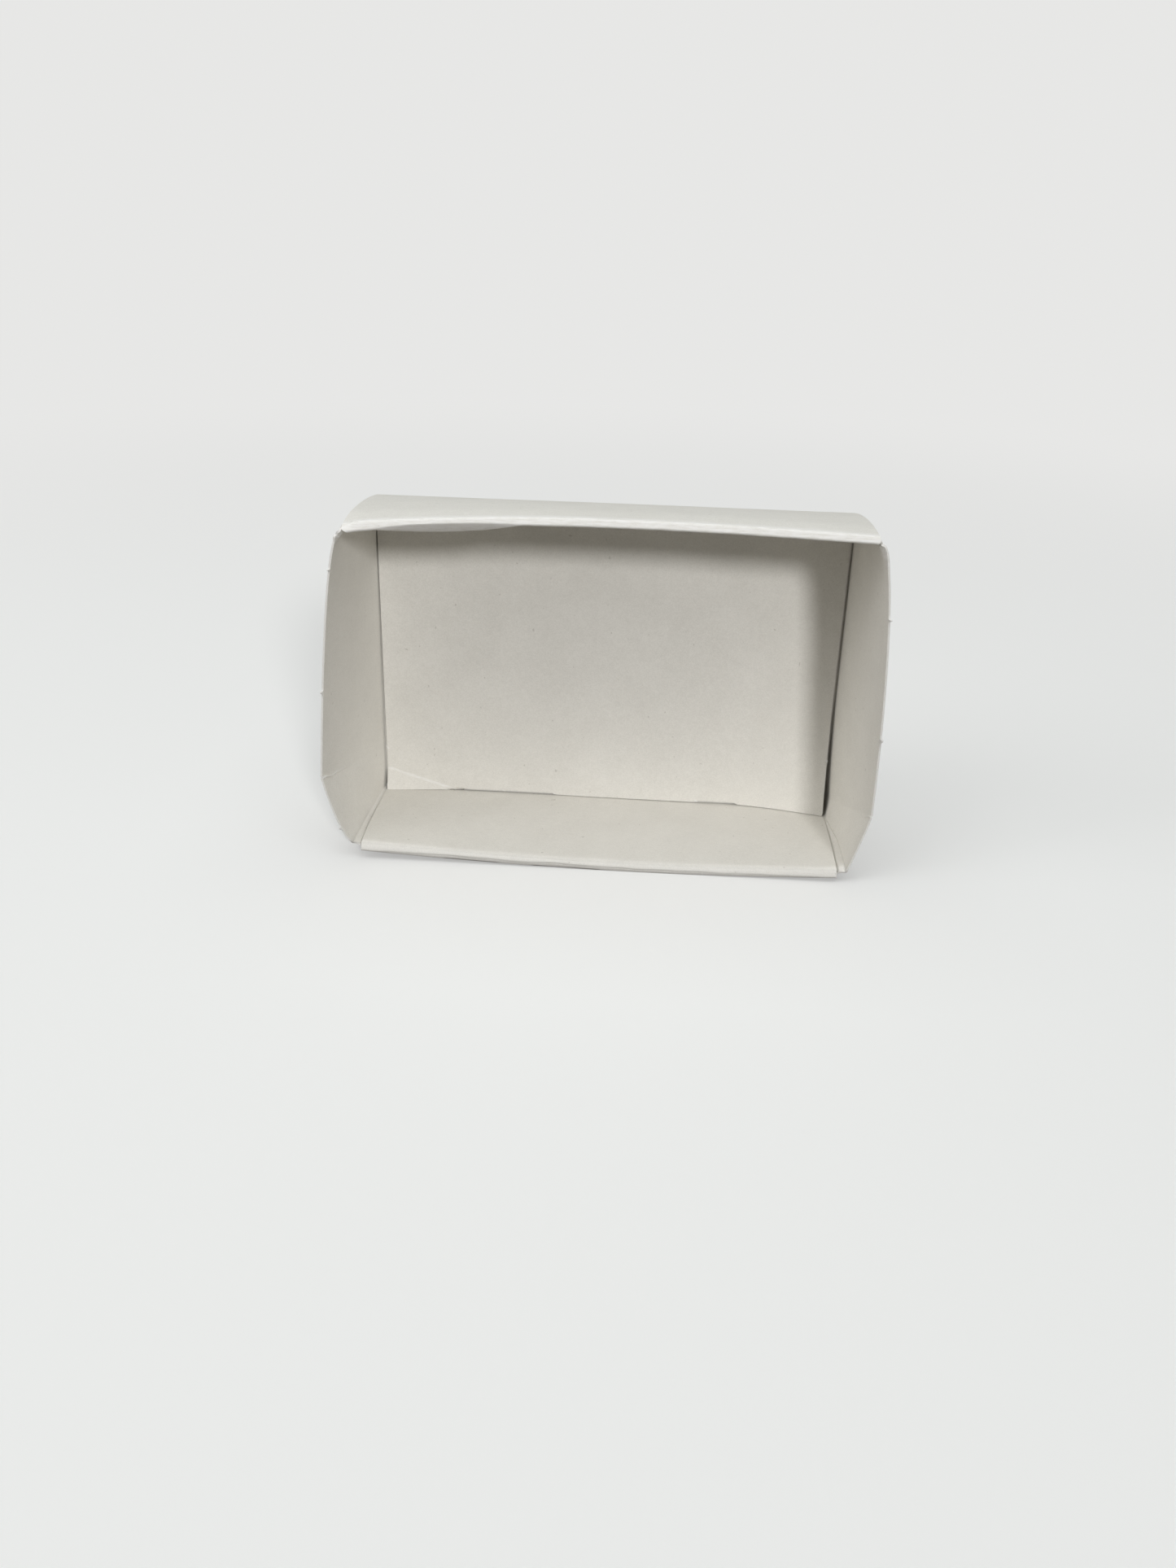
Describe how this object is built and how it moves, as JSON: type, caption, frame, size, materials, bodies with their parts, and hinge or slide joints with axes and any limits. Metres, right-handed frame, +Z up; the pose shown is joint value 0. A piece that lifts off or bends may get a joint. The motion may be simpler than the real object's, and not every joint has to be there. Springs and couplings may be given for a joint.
{
  "type": "folding gift box tray",
  "caption": "Open card tray of a folding gift box, with rolled long walls, tucked corner tabs and a flap that covers the base.",
  "frame": {"origin": "centre of the bounding box on the ground, with the tray standing on its lower long wall as pictured", "axes": "+Z up; +X along the long walls, to the right as seen from the mouth; +Y from the mouth to the base"},
  "size_m": [0.1135, 0.032, 0.075],
  "materials": {
    "white_card": "matte uncoated white card"
  },
  "bodies": {
    "tray": {"folded_tray": "white_card"},
    "flap": {"floor_flap": "white_card"}
  },
  "joints": [
    {"name": "flap_hinge", "type": "hinge", "parent": "tray", "child": "flap", "pos_m": [0.001, 0.0149, 0.0679], "axis": [-1, 0, 0], "range_deg": [0, 88]}
  ]
}
